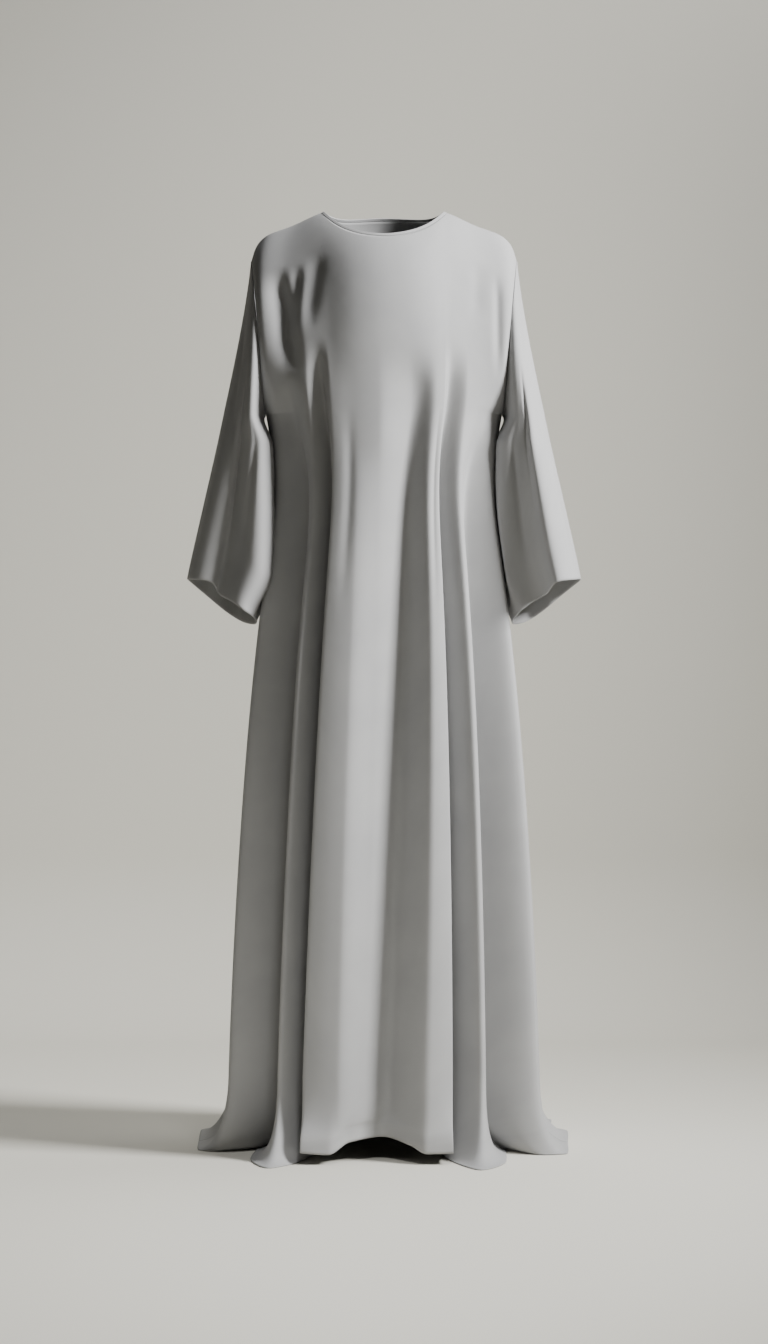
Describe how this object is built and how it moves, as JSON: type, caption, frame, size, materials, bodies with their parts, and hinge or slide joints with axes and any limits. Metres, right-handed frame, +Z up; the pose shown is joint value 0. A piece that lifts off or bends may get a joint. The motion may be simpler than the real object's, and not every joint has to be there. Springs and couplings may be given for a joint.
{
  "type": "abaya",
  "caption": "Plain slip-on abaya, filled out and hanging: round neck, wide three-quarter sleeves, folds from the chest and a hem that pools on the floor.",
  "frame": {"origin": "where the wearer's shoulders hold the garment: midway between its two neck points, level with them and over the shoulder seams", "axes": "+Z up, -Y towards the front, +X towards the wearer's left"},
  "size_m": [0.6016, 0.5827, 1.4348],
  "materials": {
    "crepe": "matte grey crepe, smooth, with a dry soft drape",
    "binding": "matte grey crepe, the same cloth folded over the neck edge"
  },
  "bodies": {
    "root": {"front_panel": "crepe", "back_panel": "crepe", "sleeve_right": "crepe", "sleeve_left": "crepe", "neck_binding": "binding"}
  },
  "joints": []
}
